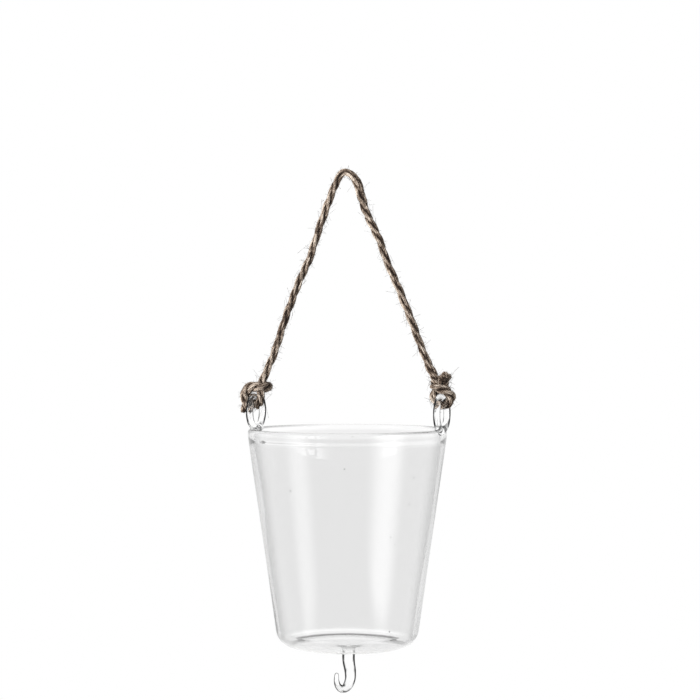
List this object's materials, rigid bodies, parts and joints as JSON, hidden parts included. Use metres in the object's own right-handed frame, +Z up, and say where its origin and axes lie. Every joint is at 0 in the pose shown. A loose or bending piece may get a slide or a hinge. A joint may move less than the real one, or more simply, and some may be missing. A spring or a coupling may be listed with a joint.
{
  "type": "hanging propagation vase",
  "caption": "Hanging tapered glass bucket vase with ear rings on its lip, a hook under its base and a knotted twine handle.",
  "frame": {"origin": "the hanging point, under the top of the twine handle", "axes": "+Z up, along the vessel's axis; X runs through both ear rings; the vase is seen from -Y"},
  "size_m": [0.1117, 0.1, 0.2635],
  "materials": {
    "clear_glass": "clear, fire polished",
    "jute_twine": "natural, hairy"
  },
  "bodies": {
    "hanger": {"cord_handle": "jute_twine", "left_cord_eye": "jute_twine", "right_cord_eye": "jute_twine", "left_knot": "jute_twine", "right_knot": "jute_twine", "left_cord_tail": "jute_twine", "right_cord_tail": "jute_twine"},
    "vessel": {"glass_vessel": "clear_glass", "left_ear_ring": "clear_glass", "right_ear_ring": "clear_glass", "bottom_hook": "clear_glass"}
  },
  "joints": [
    {"name": "vessel_swing", "type": "hinge", "parent": "hanger", "child": "vessel", "pos_m": [0, 0, -0.1192], "axis": [1, 0, 0], "range_deg": [-95, 95]}
  ]
}
